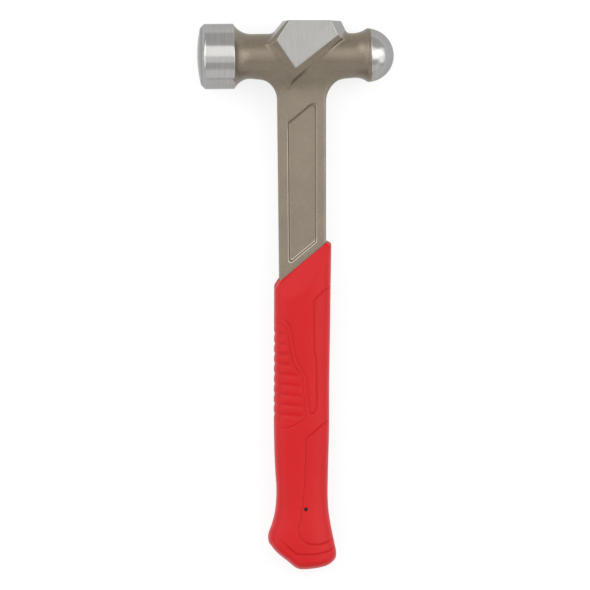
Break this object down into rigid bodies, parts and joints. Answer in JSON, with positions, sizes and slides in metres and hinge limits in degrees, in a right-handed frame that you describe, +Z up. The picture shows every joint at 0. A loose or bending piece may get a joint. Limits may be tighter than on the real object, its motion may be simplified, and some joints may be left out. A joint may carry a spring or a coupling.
{
  "type": "ball peen hammer",
  "caption": "One-piece forged steel ball peen hammer with a flat pocketed shank and a moulded red sleeve grip, lying on its side.",
  "frame": {"origin": "centre of the footprint on the table, with the hammer lying on its side as it rests by itself", "axes": "+Y from the butt of the grip to the poll of the head, +X from the striking face to the ball, +Z up out of the upper cheek"},
  "size_m": [0.118, 0.3292, 0.0401],
  "materials": {
    "coated_steel": "warm grey clear-coated blasted forging steel",
    "polished_steel": "bare ground and polished steel on the face, ball, cheeks and poll",
    "damper_rubber": "soft black elastomer",
    "core_plastic": "black glass-filled nylon",
    "red_grip": "fine matte red thermoplastic elastomer"
  },
  "bodies": {
    "root": {"forged_body": "coated_steel", "tang_damper": "damper_rubber", "grip_core": "core_plastic", "grip_overmould": "red_grip"}
  },
  "joints": []
}
